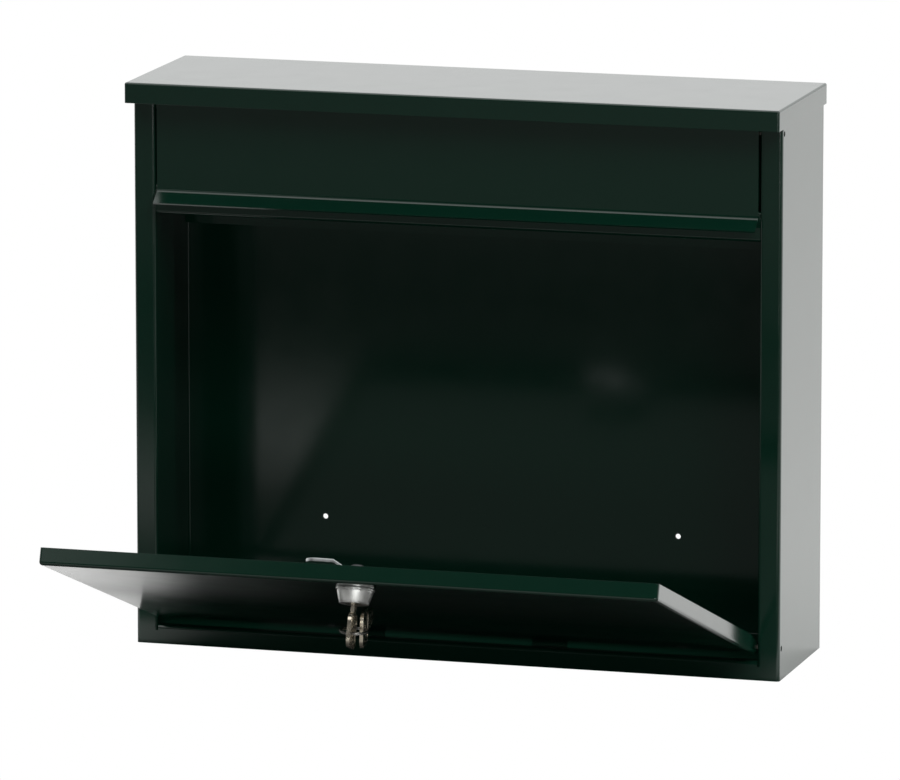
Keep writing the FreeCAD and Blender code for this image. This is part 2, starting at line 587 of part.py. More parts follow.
def make_lock_plug():
    """Plug with its keyway and the square tail that drives the cam."""
    body = new_piece("lock_plug", TURNED_FRAME)
    face = "-collar_height - head_height"
    barrel = new_sketch(body, "barrel", "XZ_Plane", "collar_height + head_height")
    draw_circle(barrel, "0", "0", "plug_radius")
    extrude(body, barrel, "Pad", f"barrel_length - ({face})", backwards=True)
    tail = new_sketch(body, "tail", "XZ_Plane", "-barrel_length")
    draw_box(tail, "-tail_width / 2", "-tail_width / 2", "tail_width / 2", "tail_width / 2")
    extrude(body, tail, "Pad", "cam_gauge - turn_gap", backwards=True)
    keyway = new_sketch(body, "keyway", "XZ_Plane", "collar_height + head_height")
    wide, high = "key_gauge / 2 + keyway_gap", "keyway_height / 2"
    draw_box(keyway, f"-({wide})", f"-({high})", wide, high)
    extrude(body, keyway, "Pocket", "key_blade + keyway_gap")
    thread = new_sketch(body, "thread", "XZ_Plane", "-barrel_length - cam_gauge")
    draw_circle(thread, "0", "0", "screw_radius")
    extrude(body, thread, "Pocket", "screw_length - washer_gauge + turn_gap", backwards=True)


def make_cam():
    """Cranked cam that catches behind the rail."""
    body = new_piece("cam", TURNED_FRAME)
    low, high = "barrel_length", "barrel_length + cam_rise"
    section = new_sketch(body, "section", "XY_Plane")
    draw_outline(section, [
        ("cam_width / 2", low), ("-cam_bend_start", low), ("-cam_bend_end", high), ("-cam_reach", high),
        ("-cam_reach", f"{high} + cam_gauge"), ("-cam_bend_end", f"{high} + cam_gauge"),
        ("-cam_bend_start", f"{low} + cam_gauge"), ("cam_width / 2", f"{low} + cam_gauge")])
    extrude(body, section, "Pad", "cam_width", symmetric=True)
    ends = [(across, up) for across in ("cam_width / 2", "-cam_reach")
            for up in ("cam_width / 2", "-cam_width / 2")]
    round_edges(body, "y", ends, "cam_width / 2 - turn_gap")
    bore = new_sketch(body, "bore", "XZ_Plane", "-barrel_length")
    half = "tail_width / 2 + turn_gap"
    draw_box(bore, f"-({half})", f"-({half})", half, half)
    extrude(body, bore, "Pocket", "4 * cam_gauge", symmetric=True)


def make_cam_washer():
    """Washer between the cam and its screw."""
    body = new_piece("cam_washer", TURNED_FRAME)
    sketch = new_sketch(body, "ring", "XZ_Plane", "-barrel_length - cam_gauge")
    draw_circle(sketch, "0", "0", "washer_radius")
    draw_circle(sketch, "0", "0", "screw_radius + turn_gap")
    extrude(body, sketch, "Pad", "washer_gauge", backwards=True)


def make_cam_screw():
    """Screw that holds the cam on the plug's tail, with a cross recess."""
    body = new_piece("cam_screw", TURNED_FRAME)
    seat = "barrel_length + cam_gauge + washer_gauge"
    section = new_sketch(body, "section", "XY_Plane")
    draw_outline(section, [
        ("0", f"{seat} - screw_length"), ("screw_radius - turn_gap", f"{seat} - screw_length"),
        ("screw_radius - turn_gap", seat), ("screw_head_radius", seat),
        ("screw_head_radius", f"{seat} + screw_head_height / 2"),
        ("screw_head_radius * 0.7", f"{seat} + screw_head_height"), ("0", f"{seat} + screw_head_height")])
    revolve(body, section)
    recess = new_sketch(body, "recess", "XZ_Plane", f"-({seat}) - screw_head_height")
    wide, narrow = "screw_head_radius * 0.5", "screw_head_radius * 0.13"
    draw_outline(recess, [
        (f"-({wide})", f"-({narrow})"), (f"-({narrow})", f"-({narrow})"), (f"-({narrow})", f"-({wide})"),
        (narrow, f"-({wide})"), (narrow, f"-({narrow})"), (wide, f"-({narrow})"), (wide, narrow),
        (narrow, narrow), (narrow, wide), (f"-({narrow})", wide), (f"-({narrow})", narrow),
        (f"-({wide})", narrow)])
    extrude(body, recess, "Pocket", "screw_head_height / 2")


def make_key(name, frame):
    """Flat key with a notched blade, a short shank and a square bow with a hole."""
    body = new_piece(name, frame)
    face = "-collar_height - head_height"
    half, bow_half = "keyway_height / 2 - keyway_gap", "bow_width / 2"
    bow_near, bow_far = f"{face} - key_shank", f"{face} - key_shank - bow_length"
    tip = f"{face} + key_blade"
    outline = new_sketch(body, "outline", "XY_Plane")
    # Drawn with Y along the key and X across it, and turned upright by its own frame
    draw_outline(outline, [
        (half, bow_near), (half, f"{tip} - ({half})"), ("0", tip), (f"-({half})", f"{tip} - ({half})"),
        (f"-({half})", bow_near), (f"-({bow_half})", bow_near), (f"-({bow_half})", bow_far),
        (bow_half, bow_far), (bow_half, bow_near)])
    extrude(body, outline, "Pad", "key_gauge", symmetric=True)
    corners = both_sides(bow_half, bow_near) + both_sides(bow_half, bow_far)
    round_edges(body, "z", corners, "bow_corner")
    hole = new_sketch(body, "hole", "XY_Plane")
    draw_circle(hole, "0", f"{face} - bow_hole_reach", "bow_hole_radius")
    extrude(body, hole, "Pocket", "2 * key_gauge", symmetric=True)
    for side, name in (("", "front"), ("-", "back")):
        groove = new_sketch(body, f"groove_{name}", "XY_Plane", f"{side}(key_gauge / 2)")
        draw_box(groove, "-groove_width / 2", f"{face} - key_shank / 2", "groove_width / 2", f"{tip} + key_gauge")
        extrude(body, groove, "Pocket", "groove_depth", backwards=bool(side))
        field = new_sketch(body, f"field_{name}", "XY_Plane", f"{side}(key_gauge / 2)")
        draw_box(field, f"-({bow_half} - coin_rim)", f"{bow_far} + coin_rim",
                 f"{bow_half} - coin_rim", f"{bow_near} - coin_rim")
        extrude(body, field, "Pocket", "coin_depth", backwards=bool(side))
    field_corners = [(across, up) for up in (f"{bow_far} + coin_rim", f"{bow_near} - coin_rim")
                     for across in (f"{bow_half} - coin_rim", f"-({bow_half} - coin_rim)")]
    round_edges(body, "z", field_corners, "bow_corner - coin_rim")
    notches = new_sketch(body, "notches", "XY_Plane")
    for share in NOTCH_PLACES:
        middle = f"{face} + {share} * (key_blade - {half})"
        draw_outline(notches, [
            (half, f"{middle} - notch_width / 2"), (f"{half} - notch_depth", middle),
            (half, f"{middle} + notch_width / 2")])
    extrude(body, notches, "Pocket", "2 * key_gauge", symmetric=True)


def make_key_ring():
    """Closed wire ring through both keys."""
    ring = doc.addObject("Part::Torus", "key_ring")
    ring.Label = "key_ring"
    ring.setExpression("Radius1", formula("ring_radius"))
    ring.setExpression("Radius2", formula("ring_wire_radius"))
    ring.setExpression("Placement", formula(RING_FRAME))
    pieces.append(ring)


def check_pieces():
    """Stop if any object failed, or a piece's shape is empty, invalid or not one solid."""
    for item in doc.Objects:
        if "Invalid" in item.State or "Error" in item.State:
            raise RuntimeError(f"{item.Name} failed: {item.State}")
    for piece in pieces:
        if piece.Shape.isNull() or not piece.Shape.isValid() or len(piece.Shape.Solids) != 1:
            raise RuntimeError(f"{piece.Label} has no valid single solid")


UPRIGHT = " * placement(vector(0; 0; 0); rotation(vector(0; 1; 0); 90))"

fill_sheet()
make_body_wrap()
make_floor_pan()
make_roof()
make_inlet_rail()
make_pins()
make_door()
make_inlet_flap()
make_lock_collar()
make_lock_body()
make_lock_nut()
make_lock_plug()
make_cam()
make_cam_washer()
make_cam_screw()
make_key("key", TURNED_FRAME + UPRIGHT)
make_key("spare_key", SPARE_FRAME + UPRIGHT)
make_key_ring()
doc.recompute()
check_pieces()

os.makedirs("parts", exist_ok=True)
for piece in pieces:
    piece.Shape.exportStep(f"parts/{piece.Label}.step")
    print(f"{piece.Label}: {piece.Shape.Volume:.0f} mm3")
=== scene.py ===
"""Looks of the wall mounted post box: glossy green powder coat, a satin chromed lock and
nickelled keys.

Lengths in the property groups are in millimetres; meshes are in metres, in the frame's own axes:
the wall is at Y = 0, the front faces -Y and Z is up.
"""
import json
import math

import bmesh
import bpy
import numpy as np
from mathutils import Matrix, Vector

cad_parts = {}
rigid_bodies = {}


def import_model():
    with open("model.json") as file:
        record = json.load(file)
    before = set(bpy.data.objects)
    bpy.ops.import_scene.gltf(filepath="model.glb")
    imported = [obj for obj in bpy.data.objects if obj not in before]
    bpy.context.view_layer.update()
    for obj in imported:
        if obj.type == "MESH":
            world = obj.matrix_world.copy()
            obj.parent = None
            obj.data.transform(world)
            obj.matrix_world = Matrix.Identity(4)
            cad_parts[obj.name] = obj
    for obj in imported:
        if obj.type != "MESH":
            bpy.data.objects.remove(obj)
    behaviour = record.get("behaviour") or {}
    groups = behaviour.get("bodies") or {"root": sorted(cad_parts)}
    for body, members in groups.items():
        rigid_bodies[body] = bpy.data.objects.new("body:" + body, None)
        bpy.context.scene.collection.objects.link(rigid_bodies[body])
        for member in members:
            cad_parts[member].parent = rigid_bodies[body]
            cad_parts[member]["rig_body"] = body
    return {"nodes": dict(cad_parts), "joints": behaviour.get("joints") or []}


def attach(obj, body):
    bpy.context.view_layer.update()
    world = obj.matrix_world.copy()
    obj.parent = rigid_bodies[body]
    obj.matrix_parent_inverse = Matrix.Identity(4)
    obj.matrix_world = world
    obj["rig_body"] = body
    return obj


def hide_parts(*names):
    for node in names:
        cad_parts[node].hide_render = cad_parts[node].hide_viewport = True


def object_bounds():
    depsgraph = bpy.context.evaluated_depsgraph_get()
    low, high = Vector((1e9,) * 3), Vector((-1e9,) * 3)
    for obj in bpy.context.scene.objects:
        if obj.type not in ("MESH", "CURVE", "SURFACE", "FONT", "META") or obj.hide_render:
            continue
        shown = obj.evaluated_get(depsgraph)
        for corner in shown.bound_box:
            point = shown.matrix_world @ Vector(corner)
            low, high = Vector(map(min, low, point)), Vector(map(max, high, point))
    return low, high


bl_info = {
    "name": "Wall Post Box",
    "version": (1, 0, 0),
    "blender": (4, 5, 0),
    "location": "View3D > Sidebar > Post Box",
    "description": "Finishes the folded sheets, the lock and the keys of a wall mounted post box",
    "category": "Object",
}

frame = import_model()
NODES = frame["nodes"]
JOINTS = {joint["name"]: joint for joint in frame["joints"]}
CAD_LOW, CAD_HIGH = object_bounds()

MM = 0.001
TWO_PI = 2 * math.pi
WHITE = (1.0, 1.0, 1.0, 1.0)
BLACK = (0.0, 0.0, 0.0, 1.0)

# Meshes: distance at which points merge, angle below which faces are one flat, and angle of a corner
MERGE = 1e-6
FLAT_ANGLE = math.radians(0.5)
CORNER_ANGLE = math.radians(30)
BEVEL_SEGMENTS = 2
FLAT_WEIGHT = 100

# Sockets of a Mix node's colours, whose names its other modes share
MIX_FIRST, MIX_SECOND, MIX_RESULT = 6, 7, 2

# Usual range of a noise, and its detail where no other is given
NOISE_LOW, NOISE_HIGH = 0.3, 0.7
NOISE_DETAIL = 2.0

# Paint: the swell under the orange peel, in widths and depths of the peel, and the duller patches
SWELL_WIDTH, SWELL_DEPTH = 5, 2
PEEL_DETAIL, SWELL_DETAIL = 1.0, 0.0
PATCH_SIZE, PATCH_ROUGHNESS = 18.0, 0.015

# Plating: detail of the grain, width of the clouds in grains, and what they do to gloss and tone
GRAIN_DETAIL = 3.0
CLOUD_WIDTH = 12
CLOUD_GLOSS = (0.8, 1.25)
CLOUD_TONE = 0.82

# Rounding of the metal pieces' edges, in millimetres
PIN_EDGE, CAM_EDGE, TURNED_EDGE, KEY_EDGE = 0.2, 0.3, 0.12, 0.1

# Curve in place of a profile's corner: its steps, and its reach as a share of the shorter side
CURVE_STEPS = 4
CURVE_SHARE = 0.45

# Collar: points round it and radius of its corners
COLLAR_STEPS = 160
COLLAR_CORNER = 0.25 * MM

# Barrel: points round it, radius of the head's corners, chamfer of the inner end, and the thread's
# rows per pitch, its distance from the head and from the inner end, and the stretch it fades over
BARREL_STEPS = 128
HEAD_CORNER = 0.2 * MM
BARREL_CHAMFER = 0.4 * MM
THREAD_ROWS = 8
THREAD_START, THREAD_END = 0.4 * MM, 0.3 * MM
THREAD_FADE = 0.8 * MM

# Nut: points round it, height and rows of each chamfered end, the cone's cut at the end and its
# slope, the chamfer of the bore, and the turn from one flat to the next
NUT_STEPS = 192
NUT_END = 0.8 * MM
NUT_END_ROWS = 6
NUT_CONE_CUT = 1.9 * MM
NUT_CONE_SLOPE = 2.2
NUT_BORE_CHAMFER = 0.3 * MM
FLAT_TURN = math.pi / 3

# Ring: steps along both coils, points round the wire, and the share of a turn it steps across in
RING_STEPS = 320
WIRE_STEPS = 16
CROSSING = 1 / 12

# Camera that was solved from the photograph, whose width is in pixels
IMAGE_WIDTH = 900
SENSOR_MM = 36.0
FOCAL_PX = 8940.7
CAMERA_AZIMUTH, CAMERA_ELEVATION = math.radians(16.235), math.radians(10.563)
CAMERA_TARGET = Vector((-15.49, -50.0, -14.17)) * MM
CAMERA_DISTANCE = 4966.6 * MM
CAMERA_CLIP_END = 50.0

# Studio: the direction's Y over which the room turns into the backdrop, and its Z over which the
# overhead bank starts
BACKDROP_STEP = (-0.35, 0.35)
OVERHEAD_STEP = (0.45, 0.8)

# Soft boxes: name, place and size in metres, and power in watts
SOFT_BOXES = (
    ("camera_side_softbox", (0.85, -2.6, -0.04), (1.8, 0.3), 14.0),
    ("right_softbox", (1.3, -1.25, 1.7), (1.3, 1.3), 22.0),
    ("left_softbox", (-0.95, -1.6, 0.62), (0.7, 0.5), 0.8),
)

# Table: its half width, half depth and drop below the box in metres, and its greys at distances in
# metres in front of the wall, up to its reach. The greys below 1.0 are painted shade: a painted
# shadow line at the box's front edge, painted shade under the open door and painted darkening
# farther out
TABLE_HALF_WIDTH, TABLE_HALF_DEPTH = 2.5, 3.0
TABLE_DROP = 0.5 * MM
TABLE_REACH = 1.5
TABLE_GREYS_WITH_PAINTED_SHADE = (
    (0.0, 1.0), (0.09, 1.0), (0.096, 0.3), (0.099, 0.3), (0.104, 1.0), (0.14, 1.0), (0.17, 0.12),
    (0.3, 0.1), (0.5, 0.46), (0.65, 0.3), (0.78, 0.05), (1.15, 0.02), (TABLE_REACH, 0.13),
)

# Painted shade on the table under the open door, in place of the door's shadow: the share of the
# table's grey left in it, and the steps that bound it, each with its axis, the place in metres
# where the painted shade is full and the place where it ends
PAINTED_SHADE = 0.24
PAINTED_SHADE_STEPS = (("Y", -0.11, -0.07), ("Y", -0.14, -0.20), ("X", -0.06, -0.13), ("X", 0.16, 0.21))


def linear(colour):
    """Scene colour of an sRGB hex value, with alpha."""
    channels = [int(colour[place:place + 2], 16) / 255 for place in (1, 3, 5)]
    return (*(c / 12.92 if c <= 0.04045 else ((c + 0.055) / 1.055) ** 2.4 for c in channels), 1.0)


def add_node(tree, kind, settings=None, links=None):
    """Add a node, set its properties and sockets, and link sockets, by name or place, to it."""
    node = tree.nodes.new(kind)
    for name, value in (settings or {}).items():
        if name in node.inputs:
            node.inputs[name].default_value = value
        else:
            setattr(node, name, value)
    for name, source in (links or {}).items():
        tree.links.new(source, node.inputs[name])
    return node


def new_material(name, settings):
    """Material with a Principled shader; returns it with its tree, shader and Object coordinates."""
    material = bpy.data.materials.new(name)
    material.use_nodes = True
    tree = material.node_tree
    tree.nodes.clear()
    shader = add_node(tree, "ShaderNodeBsdfPrincipled", settings)
    add_node(tree, "ShaderNodeOutputMaterial", links={"Surface": shader.outputs["BSDF"]})
    place = add_node(tree, "ShaderNodeTexCoord").outputs["Object"]
    return material, tree, shader, place


def waves(size_mm, detail=NOISE_DETAIL):
    """Settings of a noise whose waves are about size_mm wide."""
    return {"Scale": 1 / (size_mm * MM), "Detail": detail}


def stretched(low, high):
    """Settings that stretch a noise's usual range over one from low to high."""
    return {"From Min": NOISE_LOW, "From Max": NOISE_HIGH, "To Min": low, "To Max": high}


def relief(tree, shader, place, layers):
    """Raise a surface by layers of noise, each with its waves' width, detail and depth in mm.

    Each layer bumps the normal of the one before, and the last normal goes to the shader.
    """
    below = {}
    for size_mm, detail, depth_mm in layers:
        height = add_node(tree, "ShaderNodeTexNoise", waves(size_mm, detail), {"Vector": place})
        bump = add_node(tree, "ShaderNodeBump", {"Strength": 1.0, "Distance": depth_mm * MM},
                        {"Height": height.outputs["Fac"], **below})
        below = {"Normal": bump.outputs["Normal"]}
    tree.links.new(below["Normal"], shader.inputs["Normal"])


def powder_coat(paint):
    """Gloss polyester powder coat, sprayed and baked on sheet steel.

    It is smooth and deep; the baked film keeps a faint orange peel on a slower swell, and handling
    has left it a little duller in patches.
    """
    material, tree, shader, place = new_material(
        "gloss_green_powder_coat", {"Base Color": linear(paint.colour), "IOR": 1.5})
    relief(tree, shader, place, (
        (paint.peel_size, PEEL_DETAIL, paint.peel_depth),
        (SWELL_WIDTH * paint.peel_size, SWELL_DETAIL, SWELL_DEPTH * paint.peel_depth)))
    patch = add_node(tree, "ShaderNodeTexNoise", waves(PATCH_SIZE), {"Vector": place})
    least, most = paint.roughness - PATCH_ROUGHNESS, paint.roughness + PATCH_ROUGHNESS
    gloss = add_node(tree, "ShaderNodeMapRange", stretched(least, most),
                     {"Value": patch.outputs["Fac"]})
    tree.links.new(gloss.outputs["Result"], shader.inputs["Roughness"])
    return material


def plated(name, colour, roughness, grain_mm, depth_mm):
    """Plated metal: a fine grain from the base metal's finish shows through the bright layer, and
    its gloss and tone drift a little from one cloud of grains to the next."""
    material, tree, shader, place = new_material(name, {"Metallic": 1.0})
    relief(tree, shader, place, ((grain_mm, GRAIN_DETAIL, depth_mm),))
    cloud = add_node(tree, "ShaderNodeTexNoise", waves(CLOUD_WIDTH * grain_mm), {"Vector": place})
    value = {"Value": cloud.outputs["Fac"]}
    least, most = (share * roughness for share in CLOUD_GLOSS)
    gloss = add_node(tree, "ShaderNodeMapRange", stretched(least, most), value)
    tree.links.new(gloss.outputs["Result"], shader.inputs["Roughness"])
    drift = add_node(tree, "ShaderNodeMapRange", stretched(0.0, 1.0), value)
    tone = add_node(tree, "ShaderNodeMix", {"data_type": "RGBA"},
                    {"Factor": drift.outputs["Result"]})
    light = linear(colour)
    tone.inputs[MIX_FIRST].default_value = (*(CLOUD_TONE * c for c in light[:3]), 1.0)
    tone.inputs[MIX_SECOND].default_value = light
    tree.links.new(tone.outputs[MIX_RESULT], shader.inputs["Base Color"])
    return material


def merged_mesh(name, node):
    """Copy of a CAD node's mesh with its loose triangles joined and its flat faces whole."""
    mesh = bpy.data.meshes.new(name)
    shell = bmesh.new()
    shell.from_mesh(NODES[node].data)
    bmesh.ops.remove_doubles(shell, verts=shell.verts, dist=MERGE)
    bmesh.ops.dissolve_limit(shell, angle_limit=FLAT_ANGLE, verts=shell.verts, edges=shell.edges)
    shell.to_mesh(mesh)
    shell.free()
    mesh.shade_smooth()
    return mesh


def place_piece(name, mesh, node, material):
    """Show a mesh in place of a CAD node, on that node's body."""
    mesh.materials.clear()
    mesh.materials.append(material)
    piece = bpy.data.objects.new(name, mesh)
    bpy.context.scene.collection.objects.link(piece)
    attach(piece, NODES[node]["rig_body"])
    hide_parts(node)
    return piece


def eased_piece(name, node, material, width_mm):
    """Show a CAD node's own shape with each sharp edge rounded a little, as paint or tumbling
    leaves it."""
    piece = place_piece(name, merged_mesh(name, node), node, material)
    bevel = piece.modifiers.new("eased_edges", "BEVEL")
    bevel.width = width_mm * MM
    bevel.segments = BEVEL_SEGMENTS
    bevel.limit_method = "ANGLE"
    bevel.angle_limit = CORNER_ANGLE
    # Each flat face keeps its own normal, and only the bends and eased edges are shaded round
    flats = piece.modifiers.new("flat_faces", "WEIGHTED_NORMAL")
    flats.weight = FLAT_WEIGHT
    flats.keep_sharp = True


def grid_mesh(name, points, closed_across=True):
    """Mesh over a grid of points, an array of rows by columns by XYZ.

    Each cell's four corners are found by adding one to its row and column. The columns wrap round,
    and so do the rows where the grid is closed across. Points that fall together, as at the end of
    a wire, are merged.
    """
    rows, columns = points.shape[:2]
    row, column = np.meshgrid(np.arange(rows if closed_across else rows - 1), np.arange(columns),
                              indexing="ij")
    next_row, next_column = (row + 1) % rows, (column + 1) % columns
    corners = np.stack([row * columns + column, row * columns + next_column,
                        next_row * columns + next_column, next_row * columns + column], axis=-1)
    mesh = bpy.data.meshes.new(name)
    mesh.from_pydata(points.reshape(-1, 3), [], corners.reshape(-1, 4))
    shell = bmesh.new()
    shell.from_mesh(mesh)
    bmesh.ops.remove_doubles(shell, verts=shell.verts, dist=MERGE)
    bmesh.ops.recalc_face_normals(shell, faces=shell.faces)
    shell.to_mesh(mesh)
    shell.free()
    mesh.shade_smooth()
    mesh.set_sharp_from_angle(angle=CORNER_ANGLE)
    return mesh


def moved(points, matrix):
    """Apply a 4 by 4 matrix to an array of points."""
    turn = np.array(matrix)
    return points @ turn[:3, :3].T + turn[:3, 3]


def full_turn(steps):
    """Row of angles in equal steps round a full turn, without its end."""
    return np.linspace(0, TWO_PI, steps, endpoint=False)[None, :]


def round_axis(radius, height, turn):
    """Points round the Y axis: X is radius times the cosine of the turn, Z is radius times its
    sine and Y is the height."""
    return np.stack([radius * np.cos(turn), height + 0 * turn, radius * np.sin(turn)], axis=-1)


def turned(profile, steps):
    """Carry a profile of (radius, height) rows round the Y axis."""
    return round_axis(profile[:, :1], profile[:, 1:], full_turn(steps))


def rounded_profile(corners, radius):
    """Closed profile through corners, each replaced by a quadratic curve that starts and ends at
    radius, or at under half the shorter side, from the corner."""
    spots = np.array(corners, float)
    before, after = np.roll(spots, 1, axis=0) - spots, np.roll(spots, -1, axis=0) - spots
    reach_in, reach_out = np.linalg.norm(before, axis=1), np.linalg.norm(after, axis=1)
    cut = np.minimum(radius, CURVE_SHARE * np.minimum(reach_in, reach_out))
    start = spots + before * (cut / reach_in)[:, None]
    end = spots + after * (cut / reach_out)[:, None]
    share = np.linspace(0, 1, CURVE_STEPS + 1)[None, :, None]
    curve = ((1 - share) ** 2 * start[:, None] + 2 * share * (1 - share) * spots[:, None]
             + share ** 2 * end[:, None])
    return curve.reshape(-1, 2)


def lock_matrix():
    """Place of the lock: Y inwards along its axis, from the middle of its hole in the door."""
    joint = JOINTS["lock_turn"]
    axis = Vector(joint["axis"])
    tilt = Matrix.Rotation(math.atan2(axis.z, axis.y), 4, "X")
    return Matrix.Translation(joint["pos_m"]) @ tilt


def cloud_of(node):
    """Array of a CAD node's vertices, in the frame's own axes."""
    coordinates = np.empty(3 * len(NODES[node].data.vertices))
    NODES[node].data.vertices.foreach_get("co", coordinates)
    return coordinates.reshape(-1, 3)


def lock_profile(node):
    """Height along the lock's axis and distance from it of each vertex of a CAD node."""
    local = moved(cloud_of(node), lock_matrix().inverted())
    return local[:, 1], np.hypot(local[:, 0], local[:, 2])


class PostBoxPaint(bpy.types.PropertyGroup):
    """Colour and finish of the painted sheets."""

    colour: bpy.props.StringProperty(
        name="Paint colour", description="sRGB hex value of the powder coat", default="#052218")
    roughness: bpy.props.FloatProperty(
        name="Roughness", description="Roughness of the powder coat", default=0.13, min=0.0,
        max=1.0, subtype="FACTOR")
    peel_size: bpy.props.FloatProperty(
        name="Orange peel width", description="Width of the orange peel's waves, in millimetres",
        default=2.5)
    peel_depth: bpy.props.FloatProperty(
        name="Orange peel depth", description="Depth of those waves, in millimetres",
        default=0.004)
    edge: bpy.props.FloatProperty(
        name="Painted edge", description="Rounding of the painted edges, in millimetres",
        default=0.3)


class PostBoxLock(bpy.types.PropertyGroup):
    """Finish and turned details of the lock and the keys."""

    collar_colour: bpy.props.StringProperty(
        name="Collar colour", description="sRGB hex value of the collar's plating",
        default="#e3e4e1")
    key_colour: bpy.props.StringProperty(
        name="Key colour", description="sRGB hex value of the keys' nickel", default="#c9c1b0")
    zinc_colour: bpy.props.StringProperty(
        name="Zinc colour", description="sRGB hex value of the cam's zinc", default="#b4b8b8")
    collar_rim: bpy.props.FloatProperty(
        name="Collar rim", description="Height of the collar's rim, in millimetres", default=1.2)
    collar_groove: bpy.props.FloatProperty(
        name="Collar groove", description="Depth of the groove next to the rim, in millimetres",
        default=0.7)
    collar_nose: bpy.props.FloatProperty(
        name="Collar nose", description="Radius of the collar's outer end, in millimetres",
        default=8.25)
    thread_pitch: bpy.props.FloatProperty(
        name="Thread pitch", description="Pitch of the barrel's thread, in millimetres",
        default=1.0)
    thread_depth: bpy.props.FloatProperty(
        name="Thread depth", description="Depth of the barrel's thread, in millimetres",
        default=0.45)
    nut_across: bpy.props.FloatProperty(
        name="Nut", description="Nut across flats, in millimetres", default=22.0)
    ring_gap: bpy.props.FloatProperty(
        name="Ring gap", description="Gap between the ring's two coils, in millimetres",
        default=0.06)


class PostBoxStage(bpy.types.PropertyGroup):
    """Levels of the studio light."""

    backdrop: bpy.props.FloatProperty(
        name="Backdrop", description="Radiance of the white backdrop behind the box", default=1.25)
    room: bpy.props.FloatProperty(
        name="Room", description="Radiance of the dark room in front", default=0.04)
    overhead: bpy.props.FloatProperty(
        name="Overhead", description="Radiance of the overhead light bank", default=1.9)
    table_grey: bpy.props.StringProperty(
        name="Table", description="sRGB hex value of the pale table", default="#f9f9f8")


class POSTBOX_OT_painted_sheets(bpy.types.Operator):
    """Finish the folded sheets"""

    bl_idname = "postbox.painted_sheets"
    bl_label = "Painted Sheets"

    def execute(self, context):
        paint = context.scene.post_box_paint
        material = powder_coat(paint)
        for node in ("body_wrap", "floor_pan", "roof", "inlet_rail", "inlet_flap", "door"):
            eased_piece(f"{node}_painted", node, material, paint.edge)
        return {"FINISHED"}


class POSTBOX_OT_hinge_pins(bpy.types.Operator):
    """Finish the hinge pins"""

    bl_idname = "postbox.hinge_pins"
    bl_label = "Hinge Pins"

    def execute(self, context):
        # Blackened steel wire: dull and dark, with fine die lines
        blackened = plated("blackened_steel_wire", "#5a5853", roughness=0.5, grain_mm=0.4,
                           depth_mm=0.01)
        for hinge in ("flap", "door"):
            for side in ("left", "right"):
                node = f"{hinge}_pin_{side}"
                eased_piece(f"{node}_wire", node, blackened, PIN_EDGE)
        return {"FINISHED"}


